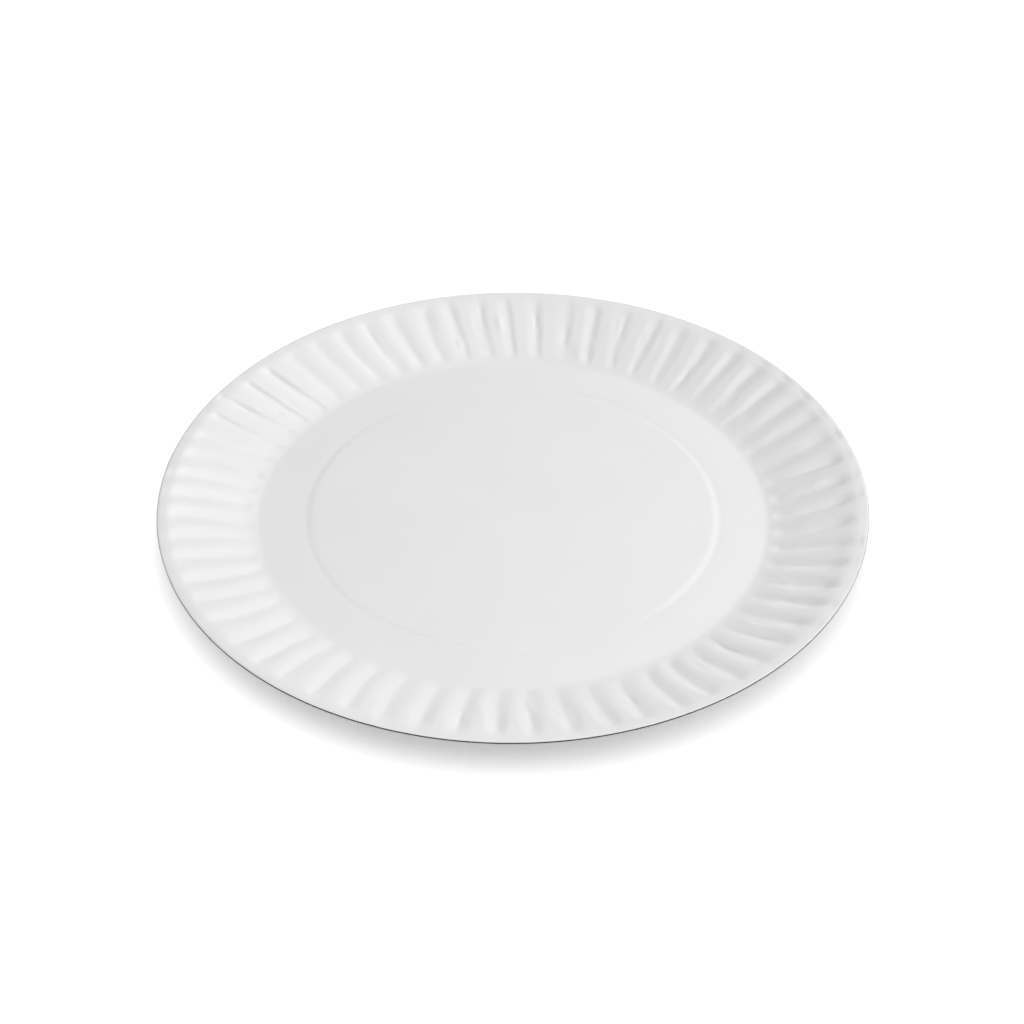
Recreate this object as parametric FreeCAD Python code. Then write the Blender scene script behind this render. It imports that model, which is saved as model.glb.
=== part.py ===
import FreeCAD, Part
import math
import os

# A round paperboard plate with a fluted rim, pressed from one flat disc of board.
# Millimetres. +Z is up, and the origin is under the plate's centre, on the plane
# that the foot ring stands on. The flutes run round +Z, with a ridge on +X.

# ---- the sheet
BOARD = 0.55                # thickness of the pressed board

# ---- the base, on its underside, from the middle outwards
DISC_RADIUS = 65.0          # flat raised disc in the middle
DISC_HEIGHT = 0.5           # of the disc's underside above the table
STEP_RADIUS = 68.6          # where the step round the disc has come down
STEP_DROP = 0.3             # how far it comes down
FOOT_INNER = 80.0           # the narrow flat ring that the plate stands on
FOOT_OUTER = 82.0
STEP_BEND = 15.0            # bend radius at the top and the foot of the step
FOOT_BEND = 60.0            # softer bend where the sloping floor meets the foot ring

# ---- the fluted wall and the lip
FLUTES = 63                 # flutes round the rim
FLUTE_DEPTH = 0.65          # ridge to valley at full depth
FLUTE_SHARPNESS = 0.18      # 0 is a plain wave, more gives broad ridges and narrow valleys
POLES_PER_FLUTE = 8         # control points round each flute
# Section of the wall's underside: radius, height along the ridges, share of the full flute depth.
# These are the control points of one smooth curve that leaves the foot ring level, climbs at
# about twenty degrees, flattens into the lip and turns down a little at the cut edge.
WALL_SECTION = [
    (FOOT_OUTER, 0.0, 0.0),
    (83.0, 0.0, 0.0),
    (84.0, 0.10, 0.0),
    (86.4, 0.76, 0.35),
    (91.0, 2.38, 0.65),
    (96.0, 4.15, 0.8),
    (101.0, 5.93, 0.9),
    (106.0, 7.70, 1.0),
    (109.6, 8.98, 1.0),
    (111.6, 9.66, 0.2),
    (113.2, 10.06, 0.0),
    (114.1, 10.29, 0.0),
    (114.55, 10.39, 0.0),
    (114.84, 10.33, 0.0),
]

CUBIC = 3
POLES_ROUND = FLUTES * POLES_PER_FLUTE
POLE_ANGLE = 2.0 * math.pi / POLES_ROUND
SEW_TOLERANCE = 1e-4
NODE = "plate"


def corner_arc(before, corner, after, bend):
    """The arc of the given bend radius that rounds a corner, as its start, middle and end."""
    to_before = (before - corner).normalize()
    to_after = (after - corner).normalize()
    half = to_before.getAngle(to_after) / 2.0
    reach = bend / math.tan(half)
    to_centre = (to_before + to_after).normalize()
    sagitta = bend / math.sin(half) - bend
    return corner + to_before * reach, corner + to_centre * sagitta, corner + to_after * reach


def base_underside():
    """The underside inside the flutes: disc, step, sloping floor and foot ring, as one shell."""
    corners = [
        (0.0, DISC_HEIGHT, 0.0),
        (DISC_RADIUS, DISC_HEIGHT, STEP_BEND),
        (STEP_RADIUS, DISC_HEIGHT - STEP_DROP, STEP_BEND),
        (FOOT_INNER, 0.0, FOOT_BEND),
        (FOOT_OUTER, 0.0, 0.0),
    ]
    points = [FreeCAD.Vector(r, 0.0, z) for r, z, _ in corners]
    bends = [bend for _, _, bend in corners]
    edges = []
    start = points[0]
    for i in range(1, len(points) - 1):
        arc_start, arc_middle, arc_end = corner_arc(points[i - 1], points[i], points[i + 1], bends[i])
        edges.append(Part.LineSegment(start, arc_start).toShape())
        edges.append(Part.Arc(arc_start, arc_middle, arc_end).toShape())
        start = arc_end
    edges.append(Part.LineSegment(start, points[-1]).toShape())
    return Part.Wire(edges).revolve(FreeCAD.Vector(0, 0, 0), FreeCAD.Vector(0, 0, 1), 360.0)


def pole_gain(waves):
    """How much further out a pole lies than the curve it pulls, for a wave repeated round the rim."""
    return 3.0 / (2.0 + math.cos(waves * POLE_ANGLE))


def ring_of_poles(radius, ridge_height, share):
    """Control points once round the plate, falling from the ridges into the flutes' valleys."""
    half_depth = share * FLUTE_DEPTH / 2.0
    height = ridge_height - half_depth * (1.0 - FLUTE_SHARPNESS)
    poles = []
    for i in range(POLES_ROUND):
        angle = i * POLE_ANGLE
        wave = pole_gain(FLUTES) * math.cos(FLUTES * angle)
        wave -= FLUTE_SHARPNESS * pole_gain(2 * FLUTES) * math.cos(2 * FLUTES * angle)
        out = radius * pole_gain(1)
        poles.append(FreeCAD.Vector(out * math.cos(angle), out * math.sin(angle), height + half_depth * wave))
    return poles


def ring_surface(rings, degree):
    """A smooth surface, closed round the plate, through its first and last rings of poles."""
    spans = len(rings) - degree
    surface = Part.BSplineSurface()
    surface.buildFromPolesMultsKnots(
        rings,
        [degree + 1] + [1] * (spans - 1) + [degree + 1],
        [1] * (POLES_ROUND + 1),
        [float(i) for i in range(spans + 1)],
        [float(i) for i in range(POLES_ROUND + 1)],
        False,
        True,
        degree,
        CUBIC,
    )
    return surface.toShape()


def offset_section(section, distance):
    """The section moved square to itself by a distance, for the upper side of the sheet."""
    moved = []
    for i, (radius, height, share) in enumerate(section):
        before = section[max(i - 1, 0)]
        after = section[min(i + 1, len(section) - 1)]
        run = after[0] - before[0]
        rise = after[1] - before[1]
        length = math.hypot(run, rise)
        if i == 0:
            run, rise = length, 0.0
        moved.append((radius - distance * rise / length, height + distance * run / length, share))
    return moved


def plate():
    """The whole plate as one closed solid."""
    under_rings = [ring_of_poles(*row) for row in WALL_SECTION]
    upper_rings = [ring_of_poles(*row) for row in offset_section(WALL_SECTION, BOARD)]
    faces = []
    underside = base_underside()
    upper_side = underside.copy()
    upper_side.translate(FreeCAD.Vector(0, 0, BOARD))
    faces += underside.Faces + upper_side.Faces
    faces.append(ring_surface(under_rings, CUBIC))
    faces.append(ring_surface(upper_rings, CUBIC))
    faces.append(ring_surface([under_rings[-1], upper_rings[-1]], 1))
    sheet = Part.makeCompound(faces)
    sheet.sewShape(SEW_TOLERANCE)
    solid = Part.makeSolid(Part.Shell(sheet.Faces))
    if solid.Volume < 0:
        solid.reverse()
    return solid


os.makedirs("parts", exist_ok=True)
plate().exportStep("parts/" + NODE + ".step")
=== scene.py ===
"""A round paperboard plate with a fluted rim, shown on a plain pale floor.

The plate is one pressed sheet. Its visible mesh is laid out in rings round the plate's axis:
a raised middle disc, a step, a sloping floor, a foot ring, a fluted wall and a plain lip.
Lengths in the dataclasses are millimetres and angles are degrees, unless a name says otherwise.
"""

import logging
import math
import random
from dataclasses import astuple, dataclass, field
from enum import Enum

import bpy
import numpy as np
from mathutils import Euler, Matrix, Vector


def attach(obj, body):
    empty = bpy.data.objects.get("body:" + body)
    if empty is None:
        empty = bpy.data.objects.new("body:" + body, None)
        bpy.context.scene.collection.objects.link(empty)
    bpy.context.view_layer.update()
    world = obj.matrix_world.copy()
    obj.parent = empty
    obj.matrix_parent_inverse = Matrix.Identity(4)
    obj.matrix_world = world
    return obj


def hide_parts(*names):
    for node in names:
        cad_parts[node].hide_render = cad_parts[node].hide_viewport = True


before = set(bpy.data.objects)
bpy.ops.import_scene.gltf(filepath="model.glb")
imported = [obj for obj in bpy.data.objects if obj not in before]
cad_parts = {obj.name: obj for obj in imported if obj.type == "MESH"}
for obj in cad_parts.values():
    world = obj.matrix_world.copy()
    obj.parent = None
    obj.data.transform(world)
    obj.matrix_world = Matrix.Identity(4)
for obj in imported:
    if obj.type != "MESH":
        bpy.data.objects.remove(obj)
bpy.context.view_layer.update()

CAD_NODE = "plate"
BODY = "root"
MM = 0.001
FULL_TURN = 360.0
HALF_TURN = 180.0
QUARTER_TURN = 90.0
HALF_FLUTE = 0.5
STRETCH_POWER = 4

Colour = tuple[float, float, float]
Span = tuple[float, float]

log = logging.getLogger("plate")


class Face(Enum):
    """The three kinds of surface that a pressed sheet shows, as material indices."""

    COATED = 0
    UNDERSIDE = 1
    CUT_EDGE = 2


def smooth_rise(value: np.ndarray, start: np.ndarray | float, end: np.ndarray | float) -> np.ndarray:
    """Eases from 0 at start to 1 at end.

    Args:
        value: Where to read the curve.
        start: Where it leaves 0.
        end: Where it reaches 1.

    Returns:
        The eased share at each value.
    """
    share = np.clip((value - start) / (end - start), 0.0, 1.0)
    return share * share * (3.0 - 2.0 * share)


@dataclass(frozen=True)
class Form:
    """The form of a flute, or an addition to one.

    Attributes:
        depth: How far the valley lies below the ridges where the flute is deepest.
        growth: The share of that depth at the flute's inner end.
        fall: Width of the flank down to the valley, as a share of the way from ridge to ridge.
        rise: Width of the flank up from the valley, as the same kind of share.
        fan_fall: How much wider the first flank gets towards the lip.
        fan_rise: How much wider the second flank gets towards the lip.
        inner_end: Distance from the axis at which the flute starts.
        run_out: The share of the depth that runs on into the lip.
        lean: How far the flute turns from straight out, over the wall's half width.
        bow: How far its ends bend to one side.
        hook: How far its inner end bends to one side.
        shift: How far it stands from its even place.
        folds: How likely and how strong its fine folds are.
        droop: How far the lip beside it is pressed down at the cut edge.
    """

    depth: float = 0.0
    growth: float = 0.0
    fall: float = 0.0
    rise: float = 0.0
    fan_fall: float = 0.0
    fan_rise: float = 0.0
    inner_end: float = 0.0
    run_out: float = 0.0
    lean: float = 0.0
    bow: float = 0.0
    hook: float = 0.0
    shift: float = 0.0
    folds: float = 0.0
    droop: float = 0.0

    def plus(self, other: "Form", share: float) -> "Form":
        """Adds a share of another form, value by value."""
        return Form(*(mine + share * more for mine, more in zip(astuple(self), astuple(other))))


@dataclass(frozen=True)
class Flute:
    """One valley pressed into the rim, with half of the ridge on either side of it."""

    valley: float
    form: Form


@dataclass(frozen=True)
class Fold:
    """A fine fold or dent in the rim, from its inner to its outer end.

    The width is to one side of its middle, and a negative depth makes a swelling.
    """

    angle: float
    inner: float
    outer: float
    width: float
    depth: float


@dataclass(frozen=True)
class Dents:
    """What shallow dents and swellings are drawn from. They lie anywhere across a flute.

    Attributes:
        inner: Least and greatest distance from the axis at which one starts.
        length: Least and greatest length.
        width: Least and greatest half width.
        depth_spread: How much their depths vary about nothing.
        deeper_with_folds: How much deeper they are for each whole unit of a flute's folds value.
        reach_across: How far to either side of the valley they lie.
    """

    inner: Span
    length: Span
    width: Span
    depth_spread: float
    deeper_with_folds: float = 0.0
    reach_across: float = 2.3

    def draw_one(self, draw: random.Random, flute: Flute) -> Fold:
        """Draws one dent.

        Args:
            draw: The source of the random draws.
            flute: The flute that the dent lies in.

        Returns:
            The dent.
        """
        inner = draw.uniform(*self.inner)
        return Fold(
            angle=flute.valley + draw.uniform(-self.reach_across, self.reach_across),
            inner=inner,
            outer=inner + draw.uniform(*self.length),
            width=draw.uniform(*self.width),
            depth=draw.gauss(0.0, self.depth_spread) * (1.0 + self.deeper_with_folds * flute.form.folds),
        )


@dataclass(frozen=True)
class SharpFolds:
    """What narrow folds are drawn from. They lie along the bottom of a valley.

    Attributes:
        inner: Least and greatest distance from the axis at which one starts.
        length: Least and greatest length.
        outer_limit: Distance from the axis beyond which none goes.
        width: Least and greatest half width.
        depth: Least and greatest depth.
        off_valley: How much they vary about the valley's middle.
    """

    inner: Span = (88.0, 100.0)
    length: Span = (6.0, 16.0)
    outer_limit: float = 110.5
    width: Span = (0.6, 0.9)
    depth: Span = (0.15, 0.3)
    off_valley: float = 0.2

    def draw_one(self, draw: random.Random, flute: Flute) -> Fold:
        """Draws one narrow fold.

        Args:
            draw: The source of the random draws.
            flute: The flute that the fold lies in.

        Returns:
            The fold.
        """
        inner = draw.uniform(*self.inner)
        return Fold(
            angle=flute.valley + draw.gauss(0.0, self.off_valley),
            inner=inner,
            outer=min(self.outer_limit, inner + draw.uniform(*self.length)),
            width=draw.uniform(*self.width),
            depth=draw.uniform(*self.depth),
        )


@dataclass(frozen=True)
class Stretch:
    """A stretch of the plate's turn, strongest at its middle, where something differs."""

    middle: float
    half_width: float

    def share(self, angle: np.ndarray | float) -> np.ndarray | float:
        """How strongly the stretch acts at each angle, from 0 to 1."""
        away = (angle - self.middle + HALF_TURN) % FULL_TURN - HALF_TURN
        return np.exp(-((away / self.half_width) ** STRETCH_POWER))


@dataclass(frozen=True)
class Zone(Stretch):
    """A stretch of the rim where the flutes' form differs from the rest."""

    more: Form


@dataclass(frozen=True)
class RiserZone(Stretch):
    """A stretch of the rim where the valleys start to rise to the lip sooner, by a length."""

    sooner: float


@dataclass(frozen=True)
class RingZone(Stretch):
    """A stretch of the step round the disc where the step differs.

    Attributes:
        drop: How much further the step comes down.
        sharp: How much narrower the step is.
        groove: How much deeper the groove at its foot is.
        crease: How deep the fine crease in the step is.
    """

    drop: float = 0.0
    sharp: float = 0.0
    groove: float = 0.0
    crease: float = 0.0


@dataclass(frozen=True)
class FluteLayout:
    """How the flutes are spaced round the rim, and how much one differs from the next.

    Attributes:
        count: Flutes round the rim.
        first: Angle of the first valley, before the drift.
        drift: How far the valleys drift from an even spacing, twice round the rim.
        base: The usual form of a flute.
        spread: How much each value of a flute's form varies from one flute to the next.
        zones: Stretches of the rim where the form differs.
        dents: The broad dent that every flute has.
        sharp_folds: The narrow fold that some flutes have.
        crumples: The short dents of the flutes with high folds values.
        most_crumples: How many crumples a flute has for each whole unit of its folds value.
        seed: Seed of the random draws.
    """

    count: int = 63
    first: float = 3.8
    drift: float = -0.92
    base: Form = Form(
        depth=0.65, growth=0.6, fall=0.45, rise=0.43,
        inner_end=84.3, run_out=0.15, lean=0.5, hook=0.3, folds=0.12,
    )
    spread: Form = Form(
        depth=0.06, growth=0.06, fall=0.03, rise=0.03,
        inner_end=0.3, run_out=0.1, lean=0.2, bow=0.15, shift=0.15,
    )
    zones: tuple[Zone, ...] = (
        Zone(347.0, 25.0, Form(
            depth=0.7, growth=-0.1, run_out=0.12, fan_fall=-0.3, lean=-0.4, bow=0.2, hook=0.3, folds=0.4,
        )),
        Zone(27.0, 16.0, Form(
            depth=0.3, growth=-0.25, run_out=0.25, lean=0.8, hook=1.5, bow=-0.7, shift=0.3,
        )),
        Zone(48.0, 22.0, Form(growth=-0.15, run_out=0.25, rise=-0.12, fan_rise=0.3)),
        Zone(82.0, 26.0, Form(depth=-0.22, growth=0.3, fall=-0.19, hook=-0.8, inner_end=0.8, folds=0.4)),
        Zone(122.0, 13.0, Form(depth=-0.1, growth=0.4, lean=0.3, bow=-0.6)),
        Zone(150.0, 12.0, Form(
            depth=0.35, fall=-0.3, rise=0.06, run_out=0.1, hook=-0.8, shift=0.5, folds=0.5,
        )),
        Zone(180.0, 13.0, Form(depth=0.4, run_out=0.1, lean=0.3)),
        Zone(0.0, 45.0, Form(droop=0.35)),
        Zone(190.0, 55.0, Form(droop=0.65)),
        Zone(210.0, 15.0, Form(fall=0.08, fan_fall=-0.3, inner_end=-1.2, lean=0.8, bow=-0.8)),
        Zone(240.0, 14.0, Form(
            depth=-0.15, growth=0.1, fan_fall=-0.35, inner_end=-1.6, lean=0.8, shift=-1.2,
        )),
        Zone(270.0, 14.0, Form(
            fan_fall=-0.35, fan_rise=-0.25, inner_end=-1.8, lean=-0.3, shift=-0.2, folds=0.2,
        )),
        Zone(300.0, 14.0, Form(depth=0.1, fan_fall=-0.4, lean=-0.9, hook=1.0, shift=0.1)),
        Zone(328.0, 17.0, Form(depth=0.1, growth=-0.3, run_out=0.0, hook=0.7, folds=0.9)),
    )
    dents: Dents = Dents(
        inner=(86.0, 99.0), length=(7.0, 12.0), width=(1.0, 1.8), depth_spread=0.09, deeper_with_folds=1.5,
    )
    sharp_folds: SharpFolds = SharpFolds()
    crumples: Dents = Dents(inner=(86.0, 103.0), length=(4.0, 8.0), width=(0.8, 1.6), depth_spread=0.13)
    most_crumples: float = 4.0
    seed: int = 17

    def turn(self, index: int) -> float:
        """The angle of a valley before its own small error."""
        even = math.radians(index * FULL_TURN / self.count)
        return self.first + math.degrees(even) + self.drift * math.cos(2.0 * even)

    def form(self, angle: float) -> Form:
        """Adds up the usual form of a flute.

        Args:
            angle: The angle of its valley.

        Returns:
            The base form, with each zone's change as strong as it is there.
        """
        form = self.base
        for zone in self.zones:
            form = form.plus(zone.more, float(zone.share(angle)))
        return form

    def flutes(self) -> list[Flute]:
        """Draws every flute of the rim in order.

        Returns:
            The flutes, anticlockwise from +X.
        """
        draw = random.Random(self.seed)
        flutes = []
        for i in range(self.count):
            at = self.turn(i)
            error = Form(*(draw.gauss(0.0, spread) for spread in astuple(self.spread)))
            form = self.form(at).plus(error, 1.0)
            flutes.append(Flute(at + form.shift, form))
        return flutes

    def folds(self, flutes: list[Flute]) -> list[Fold]:
        """Draws a dent for every flute, narrow folds for some of them, and then the crumples.

        Args:
            flutes: The rim's flutes.

        Returns:
            The folds, in the order they are drawn.
        """
        draw = random.Random(self.seed + 1)
        folds = []
        for flute in flutes:
            folds.append(self.dents.draw_one(draw, flute))
            if draw.random() < flute.form.folds:
                folds.append(self.sharp_folds.draw_one(draw, flute))
        draw = random.Random(self.seed + 2)
        for flute in flutes:
            for _ in range(round(self.most_crumples * flute.form.folds)):
                folds.append(self.crumples.draw_one(draw, flute))
        return folds


@dataclass
class FluteColumns:
    """The flutes read at fixed places across each one, as one column of the mesh a place.

    Attributes:
        flutes: The rim's flutes.
        per_flute: Columns in each flute.
        places: Each column's place across its flute, for one flute.
        place: The same for the whole rim.
        angle: Each column's angle at the middle of the wall.
    """

    flutes: list[Flute]
    per_flute: int = 20
    places: np.ndarray = field(init=False)
    place: np.ndarray = field(init=False)
    angle: np.ndarray = field(init=False)

    def __post_init__(self) -> None:
        """Works out each column's place in its flute and its angle at the middle of the wall."""
        self.places = np.arange(self.per_flute) / self.per_flute - HALF_FLUTE
        self.place = np.tile(self.places, len(self.flutes))
        valleys = np.array([flute.valley for flute in self.flutes])
        before = np.concatenate([[valleys[-1] - FULL_TURN], valleys[:-1]])
        after = np.concatenate([valleys[1:], [valleys[0] + FULL_TURN]])
        reach = np.where(self.places[None, :] < 0, (valleys - before)[:, None], (after - valleys)[:, None])
        self.angle = (valleys[:, None] + self.places[None, :] * reach).ravel()

    def held(self, name: str) -> np.ndarray:
        """A value of the flutes' form, the same from ridge to ridge, one value a column."""
        return np.repeat([getattr(flute.form, name) for flute in self.flutes], self.per_flute)

    def eased(self, name: str) -> np.ndarray:
        """Reads a value of the flutes' form so that it changes smoothly over the ridges.

        Args:
            name: The value's name in Form.

        Returns:
            A flute's own value at its valley, eased towards its neighbours', one value a column.
        """
        values = np.array([getattr(flute.form, name) for flute in self.flutes])
        own = values[:, None]
        beyond = np.where(self.places[None, :] < 0, np.roll(values, 1)[:, None], np.roll(values, -1)[:, None])
        share = smooth_rise(np.abs(self.places), 0.0, 1.0)[None, :]
        return (own * (1.0 - share) + beyond * share).ravel()


@dataclass(frozen=True)
class Section:
    """The plate's section on its underside, before the flutes, from the axis out to the cut edge.

    Attributes:
        board: Thickness of the board.
        disc_radius: Radius of the raised middle disc.
        disc_height: Height of the disc's underside at the axis.
        step_radius: Radius at the foot of the step round the disc.
        step_foot: Height there.
        step_drop: Height of the step outside its zones.
        groove: Depth of the groove at the foot of the step.
        groove_radius: Radius of the groove.
        groove_width: Half width of the groove.
        crease_radius: Radius of the fine crease.
        crease_width: Half width of the fine crease.
        ring_zones: Stretches where the step differs.
        foot_radius: Inner radius of the ring that the plate stands on.
        foot_bend: How softly the floor bends into that ring.
        wall: Radius and height of the wall's control points, out to the cut edge.
        degree: Degree of the spline over them.
    """

    board: float = 0.55
    disc_radius: float = 65.0
    disc_height: float = 0.5
    step_radius: float = 68.6
    step_foot: float = 0.2
    step_drop: float = 0.07
    groove: float = 0.09
    groove_radius: float = 67.6
    groove_width: float = 1.3
    crease_radius: float = 67.0
    crease_width: float = 0.4
    ring_zones: tuple[RingZone, ...] = (
        RingZone(351.0, 39.0, drop=0.22),
        RingZone(68.0, 14.0, groove=0.12),
        RingZone(172.0, 30.0, drop=0.18),
        RingZone(238.0, 33.0, drop=0.12, sharp=1.9),
        RingZone(252.0, 20.0, crease=0.15),
        RingZone(295.0, 13.0, drop=-0.05, groove=-0.05),
    )
    foot_radius: float = 80.0
    foot_bend: float = 2.5
    wall: tuple[tuple[float, float], ...] = (
        (82.0, 0.0), (83.0, 0.0), (84.0, 0.10), (86.4, 0.76), (91.0, 2.38),
        (96.0, 4.15), (101.0, 5.93), (106.0, 7.70), (109.6, 8.98), (111.6, 9.64),
        (113.2, 10.00), (114.1, 10.22), (114.55, 10.31), (114.84, 10.24),
    )
    degree: int = 3

    def floor_height(self, radius: float, turn: np.ndarray) -> np.ndarray:
        """The underside's height inside the wall.

        The disc, the step, and the floor that slopes down to the foot ring, less the groove and
        the crease.

        Args:
            radius: Distance from the axis.
            turn: Angles round the axis, in radians.

        Returns:
            The height above the table at each angle.
        """
        shares = [(zone, zone.share(np.degrees(turn))) for zone in self.ring_zones]
        drop = self.step_drop + sum(zone.drop * share for zone, share in shares)
        sharp = sum(zone.sharp * share for zone, share in shares)
        groove = self.groove + sum(zone.groove * share for zone, share in shares)
        crease = sum(zone.crease * share for zone, share in shares)
        sunk = groove * math.exp(-(((radius - self.groove_radius) / self.groove_width) ** 2))
        sunk = sunk + crease * math.exp(-(((radius - self.crease_radius) / self.crease_width) ** 2))
        if radius < self.step_radius:
            step = smooth_rise(np.array(radius), self.disc_radius + sharp, self.step_radius)
            middle = self.disc_height - self.step_foot
            edge = min(radius / self.disc_radius, 1.0) ** 2
            plain = self.step_foot + (middle + (drop - middle) * edge) * (1.0 - step)
        else:
            slope = self.step_foot / (self.foot_radius - self.step_radius)
            gap = self.foot_radius - radius
            plain = slope * (gap + math.hypot(gap, self.foot_bend)) / 2.0
        return np.maximum(plain - sunk, 0.0)

    def wall_points(self, rows: int) -> np.ndarray:
        """Points up the wall's section, as a clamped spline over its control points.

        Args:
            rows: How many points, ends included.

        Returns:
            Radius and height, one row a point.
        """
        control = np.array(self.wall)
        degree = self.degree
        last = len(control) - degree
        knots = np.concatenate([[0.0] * degree, np.arange(last + 1), [float(last)] * degree])
        points = []
        for t in np.linspace(0.0, last, rows):
            k = min(int(t), last - 1) + degree
            work = [control[j + k - degree] for j in range(degree + 1)]
            for level in range(1, degree + 1):
                for j in range(degree, level - 1, -1):
                    low = knots[j + k - degree]
                    high = knots[j + 1 + k - level]
                    share = (t - low) / (high - low)
                    work[j] = (1.0 - share) * work[j - 1] + share * work[j]
            points.append(work[degree])
        return np.array(points)


@dataclass
class WallSurface:
    """The underside of the fluted wall, as rows up the section and columns round the rim.

    Attributes:
        radius: Distance of each row from the axis.
        height: Height of each row along the ridges.
        turn: Angle of every point, in radians.
        relief: How far every point stands above the line of the ridges.
        slope: How steeply the section rises at each row.
        normal: The way square to the section at each row, outwards and upwards.
    """

    radius: np.ndarray
    height: np.ndarray
    turn: np.ndarray
    relief: np.ndarray
    slope: np.ndarray = field(init=False)
    normal: np.ndarray = field(init=False)

    def __post_init__(self) -> None:
        """Works out the section's slope and the way square to it."""
        self.slope = np.gradient(self.height, self.radius)
        normal = np.stack([-self.slope, np.ones_like(self.slope)], axis=1)
        self.normal = normal / np.linalg.norm(normal, axis=1)[:, None]

    def ring(self, row: int, lift: float, inset: float = 0.0, keep: int = 1) -> np.ndarray:
        """Reads one ring of the wall.

        Args:
            row: The row of the section.
            lift: How far the ring stands from the underside, square to the section.
            inset: How far it is drawn in along the section.
            keep: The ring has one column in this many.

        Returns:
            Its points, one row a point.
        """
        out, up = self.normal[row]
        radius = self.radius[row] - inset + lift * out
        under = np.maximum(self.height[row] + self.relief[row, ::keep], 0.0)
        z = under + lift * up - inset * self.slope[row]
        turn = self.turn[row, ::keep]
        return np.stack([radius * np.cos(turn), radius * np.sin(turn), z], axis=1)


class NodeSheet:
    """A node tree, with short calls to add and join its nodes."""

    NOISE_LOW = 0.3
    NOISE_HIGH = 0.7

    def __init__(self, tree: bpy.types.NodeTree) -> None:
        """Takes a tree and empties it."""
        self.tree = tree
        self.tree.nodes.clear()

    def add(self, kind: str, **values: object) -> bpy.types.Node:
        """Adds a node.

        Args:
            kind: The node's Blender type.
            **values: Properties of the node to set.

        Returns:
            The new node.
        """
        node = self.tree.nodes.new(kind)
        for name, value in values.items():
            setattr(node, name, value)
        return node

    def join(self, source: bpy.types.NodeSocket, target: bpy.types.NodeSocket) -> None:
        """Links one socket to another."""
        self.tree.links.new(source, target)

    def seen(self) -> bpy.types.NodeSocket:
        """Tells the rays that show a surface from the rays that only carry its light on.

        Returns:
            A socket that is 1 on rays from the camera, from a glossy surface or through a clear one.
        """
        rays = self.add("ShaderNodeLightPath")
        first = self.add("ShaderNodeMath", operation="ADD")
        self.join(rays.outputs["Is Camera Ray"], first.inputs[0])
        self.join(rays.outputs["Is Glossy Ray"], first.inputs[1])
        total = self.add("ShaderNodeMath", operation="ADD", use_clamp=True)
        self.join(first.outputs[0], total.inputs[0])
        self.join(rays.outputs["Is Transmission Ray"], total.inputs[1])
        return total.outputs[0]

    def noise(self, scale_per_mm: float, detail: float, roughness: float = 0.5) -> bpy.types.NodeSocket:
        """A noise over the object's own coordinates.

        Args:
            scale_per_mm: Features in each millimetre.
            detail: Octaves of finer noise.
            roughness: How strong the finer octaves are.

        Returns:
            The noise's value socket.
        """
        where = self.add("ShaderNodeTexCoord")
        node = self.add("ShaderNodeTexNoise")
        node.inputs["Scale"].default_value = scale_per_mm / MM
        node.inputs["Detail"].default_value = detail
        node.inputs["Roughness"].default_value = roughness
        self.join(where.outputs["Object"], node.inputs["Vector"])
        return node.outputs["Fac"]

    def span(self, value: bpy.types.NodeSocket, low: float, high: float) -> bpy.types.NodeSocket:
        """Spreads a noise's usual range over low to high.

        Args:
            value: The noise.
            low: What a low value of the noise becomes.
            high: What a high value of the noise becomes.

        Returns:
            The spread value's socket.
        """
        node = self.add("ShaderNodeMapRange")
        node.inputs["From Min"].default_value = self.NOISE_LOW
        node.inputs["From Max"].default_value = self.NOISE_HIGH
        node.inputs["To Min"].default_value = low
        node.inputs["To Max"].default_value = high
        self.join(value, node.inputs["Value"])
        return node.outputs["Result"]

    def tint(self, share: bpy.types.NodeSocket, dark: Colour, light: Colour) -> bpy.types.NodeSocket:
        """Mixes two colours by a share.

        Args:
            share: 0 for the first, 1 for the second.
            dark: The first colour.
            light: The second colour.

        Returns:
            The mixed colour's socket.
        """
        node = self.add("ShaderNodeMix", data_type="RGBA")
        node.inputs["A"].default_value = (*dark, 1.0)
        node.inputs["B"].default_value = (*light, 1.0)
        self.join(share, node.inputs["Factor"])
        return node.outputs["Result"]


def new_material(name: str) -> bpy.types.Material:
    """Makes a material that uses nodes.

    Args:
        name: The material's name.

    Returns:
        The new material.
    """
    material = bpy.data.materials.new(name)
    material.use_nodes = True
    return material


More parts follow.
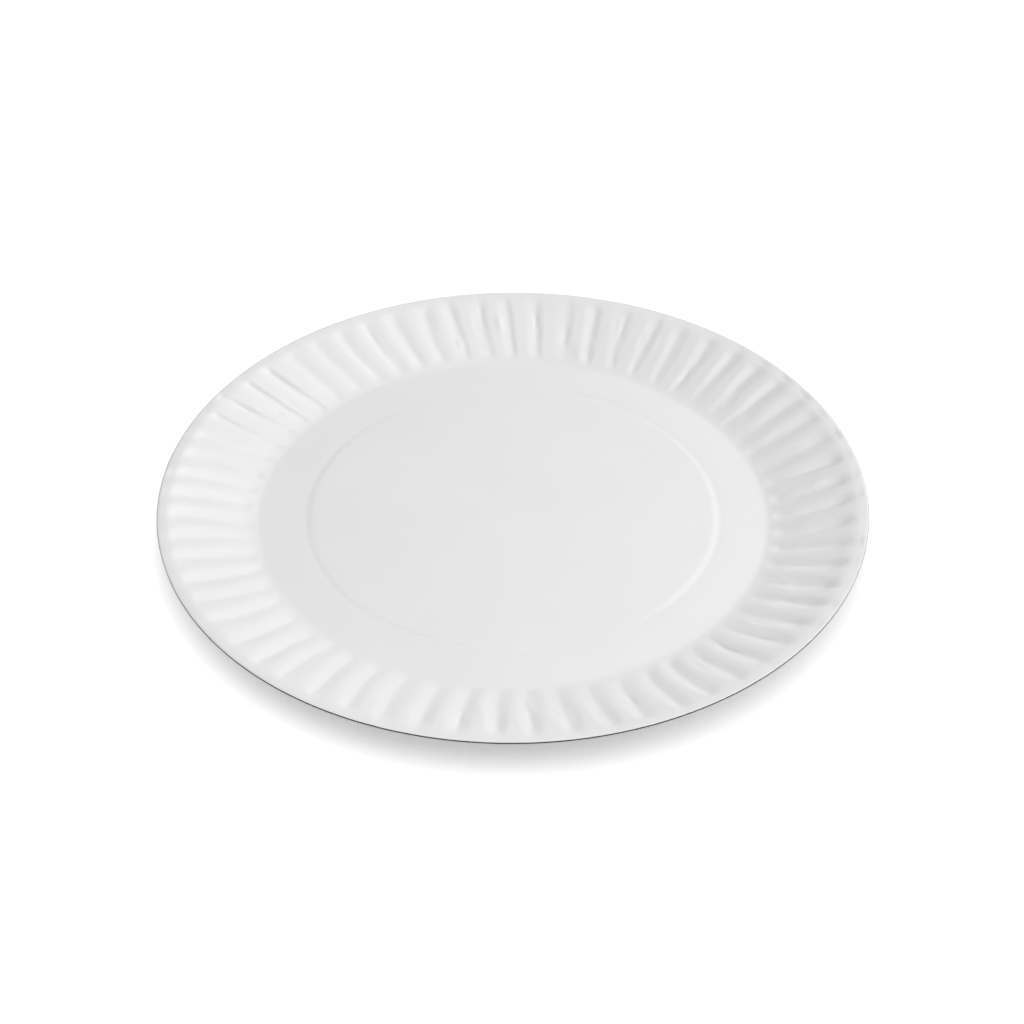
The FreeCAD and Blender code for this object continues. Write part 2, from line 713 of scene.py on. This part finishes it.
@dataclass(frozen=True)
class BoardFinish:
    """A finish of the board: its colour, how it varies, its gloss and its fibre.

    Attributes:
        name: The material's name.
        light: Colour of its lighter patches.
        dark: Colour of its darker patches.
        roughness: Least and most roughness.
        fibre: Fibres in each millimetre.
        fibre_height_mm: How far the fibres stand out.
        cloud: Patches in each millimetre.
        cloud_detail: Octaves of the patches' noise.
        fibre_detail: Octaves of the fibres' noise.
        fibre_roughness: How strong the finer octaves of the fibres' noise are.
    """

    name: str
    light: Colour
    dark: Colour
    roughness: Span
    fibre: float
    fibre_height_mm: float
    cloud: float = 0.03
    cloud_detail: float = 4.0
    fibre_detail: float = 3.0
    fibre_roughness: float = 0.6

    def material(self) -> bpy.types.Material:
        """Makes the finish's material.

        Returns:
            The finished material.
        """
        material = new_material(self.name)
        sheet = NodeSheet(material.node_tree)
        shader = sheet.add("ShaderNodeBsdfPrincipled")
        output = sheet.add("ShaderNodeOutputMaterial")
        sheet.join(shader.outputs["BSDF"], output.inputs["Surface"])
        cloud = sheet.noise(self.cloud, self.cloud_detail)
        fibre = sheet.noise(self.fibre, self.fibre_detail, self.fibre_roughness)
        colour = sheet.tint(sheet.span(cloud, 0.0, 1.0), self.dark, self.light)
        sheet.join(colour, shader.inputs["Base Color"])
        sheet.join(sheet.span(fibre, *self.roughness), shader.inputs["Roughness"])
        bump = sheet.add("ShaderNodeBump")
        bump.inputs["Distance"].default_value = self.fibre_height_mm * MM
        sheet.join(fibre, bump.inputs["Height"])
        sheet.join(bump.outputs["Normal"], shader.inputs["Normal"])
        return material


COATED = BoardFinish(
    name="coated_white_board",
    light=(0.86, 0.86, 0.86),
    dark=(0.84, 0.84, 0.84),
    roughness=(0.42, 0.5),
    fibre=1.2,
    fibre_height_mm=0.004,
)
UNDERSIDE = BoardFinish(
    name="plain_board_underside",
    light=(0.80, 0.80, 0.79),
    dark=(0.77, 0.77, 0.76),
    roughness=(0.75, 0.9),
    fibre=2.0,
    fibre_height_mm=0.02,
)
# Painted shade: the cut edge is coloured near-black, far darker than bare board, to stand in for the shade on
# the edge and the dark shadow just under the rim.
CUT_EDGE = BoardFinish(
    name="bare_cut_edge",
    light=(0.05, 0.05, 0.05),
    dark=(0.035, 0.035, 0.035),
    roughness=(0.85, 0.95),
    fibre=3.0,
    fibre_height_mm=0.03,
    cloud=0.4,
)


@dataclass
class PlateSheet:
    """The whole plate: one pressed sheet of coated board.

    Attributes:
        section: The sheet's section before the flutes.
        layout: The flutes round the rim.
        finishes: The finish of each kind of surface, in the order of Face.
        wall_rows: Rings of the mesh from the foot of the wall to the cut edge.
        knee: How far out a flute takes to reach its first depth.
        full_depth: Distance from the axis at which a flute is deepest.
        riser: How far out a valley takes to rise to the lip.
        riser_zones: Stretches where it starts to rise sooner.
        outer_end: Distance from the axis at which the valleys have risen.
        lip_start: Distance from the axis at which the lip's droop starts.
        rim_flat: Distance from the axis beyond which the rim is plain.
        left_sag: How much lower the cut edge is at -X than at +X.
        sag_curve: Power by which the sag grows up the wall.
        half_floor: Half width of a valley's flat bottom, as a share of the flute.
        shoulder: Share of a flank that rounds over from the ridge.
        toe: Share of a flank that rounds into the valley.
        steepest: Least width of a flank, as a share of the flute.
        mid_radius: Distance from the axis at which a leaning flute keeps its own angle.
        reach: How far from there it has turned by its whole lean.
        hook_span: Where the inner end's hook starts and where it is whole, in reaches inwards.
        coarse_radius: Distance from the axis within which the floor's rings are coarse.
        coarse_keep: A coarse ring has one of the wall's columns in this many.
        floor_keep: The same for the other rings of the floor.
        under_keep: The same for the underside of the wall.
        floor_radii: Radii of the floor's rings.
        edge_round: Radius that rounds the cut edge.
        edge_steps: How far round that radius the rings of the cut edge lie.
    """

    section: Section = field(default_factory=Section)
    layout: FluteLayout = field(default_factory=FluteLayout)
    finishes: tuple[BoardFinish, ...] = (COATED, UNDERSIDE, CUT_EDGE)
    wall_rows: int = 44
    knee: float = 4.2
    full_depth: float = 107.0
    riser: float = 3.6
    riser_zones: tuple[RiserZone, ...] = (RiserZone(342.0, 30.0, 3.4), RiserZone(268.0, 15.0, 2.2))
    outer_end: float = 112.3
    lip_start: float = 109.0
    rim_flat: float = 114.6
    left_sag: float = 1.2
    sag_curve: float = 1.4
    half_floor: float = 0.02
    shoulder: float = 0.36
    toe: float = 0.1
    steepest: float = 0.12
    mid_radius: float = 98.0
    reach: float = 12.0
    hook_span: Span = (0.2, 1.3)
    coarse_radius: float = 60.0
    coarse_keep: int = 20
    floor_keep: int = 10
    under_keep: int = 2
    floor_radii: tuple[float, ...] = (
        20.0, 40.0, 55.0, 63.0, 64.6, 65.2, 65.7, 66.2, 66.5, 66.75, 67.0,
        67.25, 67.5, 67.9, 68.4, 69.0, 69.8, 71.0, 74.0, 77.0, 79.5, 81.0,
    )
    edge_round: float = 0.13
    edge_steps: tuple[float, ...] = (0.0, 0.5, 1.0)

    def flute_depth(self, columns: FluteColumns, radius: np.ndarray) -> np.ndarray:
        """How far the flutes' valleys lie below the line of the ridges.

        Args:
            columns: The flutes, one value a column.
            radius: Distances from the axis, one a ring.

        Returns:
            Depths, one row a ring and one column a place.
        """
        r = radius[:, None]
        inner = columns.eased("inner_end")[None, :]
        growth = columns.eased("growth")[None, :]
        run_out = columns.eased("run_out")[None, :]
        starts = smooth_rise(r, inner, inner + self.knee)
        grows = growth + (1.0 - growth) * smooth_rise(r, inner + self.knee, self.full_depth)
        sooner = sum(zone.sooner * zone.share(columns.angle) for zone in self.riser_zones)[None, :]
        ends = 1.0 - (1.0 - run_out) * smooth_rise(r, self.outer_end - self.riser - sooner, self.outer_end)
        ends = ends * (1.0 - smooth_rise(r, self.outer_end, self.rim_flat))
        along = (r - self.mid_radius) / self.reach
        place = columns.place[None, :]
        widest = HALF_FLUTE - self.half_floor
        fall = columns.held("fall")[None, :] * (1.0 + columns.held("fan_fall")[None, :] * along)
        rise = columns.held("rise")[None, :] * (1.0 + columns.held("fan_rise")[None, :] * along)
        down = self.flank(1.0 + (place + self.half_floor) / np.clip(fall, self.steepest, widest))
        up = self.flank(1.0 + (self.half_floor - place) / np.clip(rise, self.steepest, widest))
        return columns.held("depth")[None, :] * starts * grows * ends * np.minimum(down, up)

    def flank(self, share: np.ndarray) -> np.ndarray:
        """A flank's fall from ridge to valley: straight, with a rounded shoulder and a rounded toe.

        Args:
            share: How far across the flank, from 0 on the ridge to 1 in the valley.

        Returns:
            How far it has fallen, from 0 to 1.
        """
        t = np.clip(share, 0.0, 1.0)
        shoulder = np.minimum(t, self.shoulder)
        toe = np.maximum(t - 1.0 + self.toe, 0.0)
        fall = shoulder**2 / (2.0 * self.shoulder) + (t - shoulder) - toe**2 / (2.0 * self.toe)
        return fall / (1.0 - (self.shoulder + self.toe) / 2.0)

    def fold_depth(self, folds: list[Fold], columns: FluteColumns, radius: np.ndarray) -> np.ndarray:
        """How deep the fine folds are.

        Args:
            folds: The folds.
            columns: The flutes, whose lean and bow the folds follow.
            radius: Distances from the axis, one a ring.

        Returns:
            Depths, one row a ring and one column a place.
        """
        depth = np.zeros((len(radius), len(columns.angle)))
        r = radius[:, None]
        for fold in folds:
            turn = (columns.angle - fold.angle + HALF_TURN) % FULL_TURN - HALF_TURN
            across = np.radians(turn)[None, :] * r / fold.width
            middle = (fold.inner + fold.outer) / 2.0
            half = (fold.outer - fold.inner) / 2.0
            along = np.clip(1.0 - ((r - middle) / half) ** 2, 0.0, 1.0)
            depth += fold.depth * along * np.exp(-across * across)
        return depth

    def wall_angles(self, columns: FluteColumns, radius: np.ndarray) -> np.ndarray:
        """The angle of every column at every ring, with each flute's lean, bow and hook.

        Args:
            columns: The flutes, one value a column.
            radius: Distances from the axis, one a ring.

        Returns:
            Angles in radians, one row a ring and one column a place.
        """
        along = ((radius - self.mid_radius) / self.reach)[:, None]
        turned = columns.eased("lean")[None, :] * along + columns.eased("bow")[None, :] * along**2
        turned = turned + columns.eased("hook")[None, :] * smooth_rise(-along, *self.hook_span)
        return np.radians(columns.angle[None, :] + turned)

    def wall(self) -> WallSurface:
        """Presses the flutes, the fine folds, the lip's droop and the sag into the plain wall.

        Returns:
            The underside of the wall.
        """
        flutes = self.layout.flutes()
        folds = self.layout.folds(flutes)
        columns = FluteColumns(flutes)
        radius, height = self.section.wall_points(self.wall_rows).T
        turn = self.wall_angles(columns, radius)
        relief = -self.flute_depth(columns, radius) - self.fold_depth(folds, columns, radius)
        lip = np.clip((radius - self.lip_start) / (radius[-1] - self.lip_start), 0.0, 1.0)[:, None]
        relief = relief - columns.eased("droop")[None, :] * lip * lip
        out = np.clip((radius - radius[0]) / (radius[-1] - radius[0]), 0.0, 1.0)[:, None]
        relief = relief - self.left_sag * (1.0 - np.cos(turn)) / 2.0 * out**self.sag_curve
        return WallSurface(radius, height, turn, relief)

    def floor_rings(self, turn: np.ndarray, lift: float) -> list[np.ndarray]:
        """Lays out the rings inside the wall.

        Args:
            turn: Angles of the columns at the foot of the wall, in radians.
            lift: How far the rings stand above the underside.

        Returns:
            The rings' points, from the middle outwards.
        """
        rings = []
        for radius in self.floor_radii:
            keep = self.coarse_keep if radius < self.coarse_radius else self.floor_keep
            kept = turn[::keep]
            z = self.section.floor_height(radius, kept) + lift
            rings.append(np.stack([radius * np.cos(kept), radius * np.sin(kept), z], axis=1))
        return rings

    def rings(self) -> tuple[list[np.ndarray], list[Face]]:
        """Lays out the sheet's rings, from the middle over the lip and back under to the middle.

        Returns:
            The rings' points, and the face that each strip after a ring belongs to.
        """
        wall = self.wall()
        board = self.section.board
        last = self.wall_rows - 1
        upper = self.floor_rings(wall.turn[0], board)
        upper += [wall.ring(i, board) for i in range(last)]
        under = self.floor_rings(wall.turn[0], 0.0)
        under += [wall.ring(i, 0.0, keep=self.under_keep) for i in range(last)]
        edge_top = []
        edge_low = []
        for step in self.edge_steps:
            inset = self.edge_round * (1.0 - math.sin(math.pi / 2 * step))
            drop = self.edge_round * (1.0 - math.cos(math.pi / 2 * step))
            edge_top.append(wall.ring(last, board - drop, inset))
            edge_low.append(wall.ring(last, drop, inset))
        rings = upper + edge_top + edge_low[::-1] + under[::-1]
        cut = len(edge_top) + len(edge_low) - 1
        faces = [Face.COATED] * len(upper) + [Face.CUT_EDGE] * cut + [Face.UNDERSIDE] * len(under)
        return rings, faces

    def build(self) -> bpy.types.Object:
        """Makes the mesh of the whole sheet, with its finishes.

        Returns:
            The plate's object, linked to the scene.
        """
        rings, kinds = self.rings()
        starts = np.cumsum([0] + [len(ring) for ring in rings])
        middle = self.section.disc_height
        centres = [[0.0, 0.0, middle + self.section.board], [0.0, 0.0, middle]]
        points = np.vstack([*rings, centres])
        low_centre = len(points) - 1
        top_centre = low_centre - 1
        faces: list[tuple[int, ...]] = []
        marks: list[int] = []
        size = len(rings[0])
        for j in range(size):
            faces.append((top_centre, starts[0] + j, starts[0] + (j + 1) % size))
            marks.append(Face.COATED.value)
        for i, (inner, outer) in enumerate(zip(rings, rings[1:])):
            strip = self.stitch(len(inner), len(outer), int(starts[i]), int(starts[i + 1]))
            faces += strip
            marks += [kinds[i].value] * len(strip)
        size = len(rings[-1])
        for j in range(size):
            faces.append((low_centre, starts[-2] + (j + 1) % size, starts[-2] + j))
            marks.append(Face.UNDERSIDE.value)
        mesh = bpy.data.meshes.new("plate_sheet")
        mesh.from_pydata((points * MM).tolist(), [], [tuple(int(v) for v in f) for f in faces])
        mesh.polygons.foreach_set("material_index", marks)
        mesh.polygons.foreach_set("use_smooth", [True] * len(faces))
        mesh.update()
        piece = bpy.data.objects.new("plate_sheet", mesh)
        bpy.context.scene.collection.objects.link(piece)
        for finish in self.finishes:
            mesh.materials.append(finish.material())
        return piece

    @staticmethod
    def stitch(inner: int, outer: int, first_inner: int, first_outer: int) -> list[tuple[int, ...]]:
        """Joins two rings, where one may have a whole number of times as many points as the other.

        Args:
            inner: Points in the first ring.
            outer: Points in the second ring.
            first_inner: Index of the first ring's first point.
            first_outer: Index of the second ring's first point.

        Returns:
            The faces of the strip between them.
        """
        faces: list[tuple[int, ...]] = []
        ratio = max(inner, outer) // min(inner, outer)
        half = (ratio + 1) // 2
        for j in range(min(inner, outer)):
            after = (j + 1) % min(inner, outer)
            fine = [(j * ratio + step) % max(inner, outer) for step in range(ratio + 1)]
            if inner == outer:
                faces.append((first_inner + j, first_outer + j, first_outer + after, first_inner + after))
            elif outer > inner:
                for a, b in zip(fine[:half], fine[1 : half + 1]):
                    faces.append((first_inner + j, first_outer + a, first_outer + b))
                faces.append((first_inner + j, first_outer + fine[half], first_inner + after))
                for a, b in zip(fine[half:], fine[half + 1 :]):
                    faces.append((first_inner + after, first_outer + a, first_outer + b))
            else:
                for a, b in zip(fine[:half], fine[1 : half + 1]):
                    faces.append((first_inner + b, first_inner + a, first_outer + j))
                faces.append((first_inner + fine[half], first_outer + j, first_outer + after))
                for a, b in zip(fine[half:], fine[half + 1 :]):
                    faces.append((first_inner + b, first_inner + a, first_outer + after))
        return faces


class Lights(Enum):
    """What a lamp lights."""

    OBJECT = "object"
    FLOOR = "floor"


@dataclass(frozen=True)
class Lamp:
    """A soft round studio lamp, aimed at the plate. Its azimuth is from +X, and its power in watts."""

    name: str
    azimuth: float
    elevation: float
    distance_m: float
    size_m: float
    power: float
    lights: Lights

    def place(self, lit: bpy.types.Collection) -> bpy.types.Object:
        """Puts the lamp in the scene.

        Args:
            lit: What the lamp lights.

        Returns:
            The lamp's object.
        """
        data = bpy.data.lights.new(self.name, "AREA")
        data.shape = "DISK"
        data.size = self.size_m
        data.energy = self.power
        turn = math.radians(self.azimuth)
        rise = math.radians(self.elevation)
        way = Vector((math.cos(rise) * math.cos(turn), math.cos(rise) * math.sin(turn), math.sin(rise)))
        lamp = bpy.data.objects.new(self.name, data)
        lamp.location = way * self.distance_m
        lamp.rotation_euler = way.to_track_quat("Z", "Y").to_euler()
        lamp.light_linking.receiver_collection = lit
        bpy.context.scene.collection.objects.link(lamp)
        return lamp


@dataclass
class Studio:
    """A pale floor, a soft white room and the lamps.

    Attributes:
        floor_size_m: Side of the square floor.
        floor_colour: Its colour under the lamps.
        floor_glow: How much it glows near the plate when seen.
        far_glow: How much it glows far away when seen.
        glow_reach_m: Where the glow starts to rise and where it has risen.
        room_colour: The room's colour.
        room_light: How strongly the room lights the plate.
        room_seen: How bright the room is when seen.
        lamps: The lamps.
    """

    floor_size_m: float = 12.0
    floor_colour: Colour = (0.9, 0.9, 0.9)
    floor_glow: float = 0.36
    far_glow: float = 1.0
    glow_reach_m: Span = (0.6, 1.8)
    room_colour: Colour = (1.0, 1.0, 1.0)
    room_light: float = 0.084
    room_seen: float = 1.0
    lamps: tuple[Lamp, ...] = (
        Lamp(
            "key_lamp", azimuth=-2.5, elevation=51.5,
            distance_m=1.6, size_m=1.2, power=23.2, lights=Lights.OBJECT,
        ),
        Lamp(
            "fill_lamp", azimuth=-90.0, elevation=80.0,
            distance_m=0.5, size_m=0.3, power=0.53, lights=Lights.OBJECT,
        ),
        Lamp(
            "floor_lamp", azimuth=62.0, elevation=79.0,
            distance_m=1.5, size_m=4.2, power=60.0, lights=Lights.FLOOR,
        ),
    )

    def build(self, piece: bpy.types.Object) -> None:
        """Makes the floor, the room and the lamps round the plate.

        Args:
            piece: The plate.
        """
        targets = {Lights.OBJECT: piece, Lights.FLOOR: self.build_floor()}
        self.build_room()
        for lamp in self.lamps:
            lit = bpy.data.collections.new(f"lit_by_{lamp.name}")
            lit.objects.link(targets[lamp.lights])
            lamp.place(lit)

    def build_floor(self) -> bpy.types.Object:
        """Lays the floor under the plate.

        Returns:
            The floor's object.
        """
        half = self.floor_size_m / 2
        corners = [(-half, -half, 0.0), (half, -half, 0.0), (half, half, 0.0), (-half, half, 0.0)]
        mesh = bpy.data.meshes.new("floor")
        mesh.from_pydata(corners, [], [tuple(range(len(corners)))])
        mesh.materials.append(self.floor_material())
        floor = bpy.data.objects.new("floor", mesh)
        bpy.context.scene.collection.objects.link(floor)
        return floor

    def floor_material(self) -> bpy.types.Material:
        """Makes a matt finish with a glow that rises with distance and lights nothing.

        Returns:
            The floor's material.
        """
        material = new_material("pale_floor")
        sheet = NodeSheet(material.node_tree)
        matt = sheet.add("ShaderNodeBsdfDiffuse")
        matt.inputs["Color"].default_value = (*self.floor_colour, 1.0)
        glow = sheet.add("ShaderNodeEmission")
        place = sheet.add("ShaderNodeTexCoord")
        away = sheet.add("ShaderNodeVectorMath", operation="LENGTH")
        sheet.join(place.outputs["Object"], away.inputs[0])
        near, far = self.glow_reach_m
        level = sheet.add("ShaderNodeMapRange", interpolation_type="SMOOTHSTEP")
        level.inputs["From Min"].default_value = near
        level.inputs["From Max"].default_value = far
        level.inputs["To Min"].default_value = self.floor_glow
        level.inputs["To Max"].default_value = self.far_glow
        sheet.join(away.outputs["Value"], level.inputs["Value"])
        strength = sheet.add("ShaderNodeMath", operation="MULTIPLY")
        sheet.join(level.outputs["Result"], strength.inputs[1])
        both = sheet.add("ShaderNodeAddShader")
        output = sheet.add("ShaderNodeOutputMaterial")
        sheet.join(sheet.seen(), strength.inputs[0])
        sheet.join(strength.outputs[0], glow.inputs["Strength"])
        sheet.join(matt.outputs[0], both.inputs[0])
        sheet.join(glow.outputs[0], both.inputs[1])
        sheet.join(both.outputs[0], output.inputs["Surface"])
        return material

    def build_room(self) -> None:
        """Gives the room a soft even light that looks plain white when seen."""
        world = bpy.data.worlds.new("white_room")
        world.use_nodes = True
        bpy.context.scene.world = world
        sheet = NodeSheet(world.node_tree)
        output = sheet.add("ShaderNodeOutputWorld")
        back = sheet.add("ShaderNodeBackground")
        back.inputs["Color"].default_value = (*self.room_colour, 1.0)
        strength = sheet.add("ShaderNodeMix")
        strength.inputs["A"].default_value = self.room_light
        strength.inputs["B"].default_value = self.room_seen
        sheet.join(sheet.seen(), strength.inputs["Factor"])
        sheet.join(strength.outputs["Result"], back.inputs["Strength"])
        sheet.join(back.outputs[0], output.inputs["Surface"])


@dataclass(frozen=True)
class ViewCamera:
    """The camera: in front of the plate, looking down on it.

    Attributes:
        elevation: How far above the floor it stands, seen from the target.
        distance_m: Its distance from the target.
        lens_mm: Its focal length.
        sensor_mm: Width of its sensor.
        clip_end_m: How far it sees.
        aim_below: How far below the target it looks.
        aim_right: How far to the side of the target it looks.
        roll: How far it is rolled.
        target_height_mm: Height of the target above the table.
    """

    elevation: float = 39.35
    distance_m: float = 0.6534
    lens_mm: float = 70.02
    sensor_mm: float = 36.0
    clip_end_m: float = 50.0
    aim_below: float = 0.1425
    aim_right: float = 0.023
    roll: float = -0.12
    target_height_mm: float = 1.7

    def place(self) -> bpy.types.Object:
        """Puts the camera in the scene and makes it the one in use.

        Returns:
            The camera's object.
        """
        data = bpy.data.cameras.new("view_camera")
        data.lens = self.lens_mm
        data.sensor_width = self.sensor_mm
        data.clip_end = self.clip_end_m
        rise = math.radians(self.elevation)
        camera = bpy.data.objects.new("view_camera", data)
        camera.location = (
            0.0,
            -self.distance_m * math.cos(rise),
            self.target_height_mm * MM + self.distance_m * math.sin(rise),
        )
        tilt = math.radians(QUARTER_TURN - self.elevation - self.aim_below)
        turn = Matrix.Rotation(math.radians(self.aim_right), 4, "Z")
        look = turn @ Euler((tilt, 0.0, 0.0)).to_matrix().to_4x4()
        look = look @ Matrix.Rotation(-math.radians(self.roll), 4, "Z")
        camera.rotation_euler = look.to_euler()
        bpy.context.scene.collection.objects.link(camera)
        bpy.context.scene.camera = camera
        return camera


def main() -> None:
    """Builds the plate, the studio and the camera."""
    logging.basicConfig(level=logging.INFO, format="%(name)s: %(message)s")
    ViewCamera().place()
    log.info("camera placed")
    piece = PlateSheet().build()
    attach(piece, BODY)
    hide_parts(CAD_NODE)
    log.info("%s built with %d faces", piece.name, len(piece.data.polygons))
    Studio().build(piece)
    log.info("floor, room and lamps placed")
    bpy.context.scene.view_settings.view_transform = "Standard"


if __name__ == "__main__":
    main()
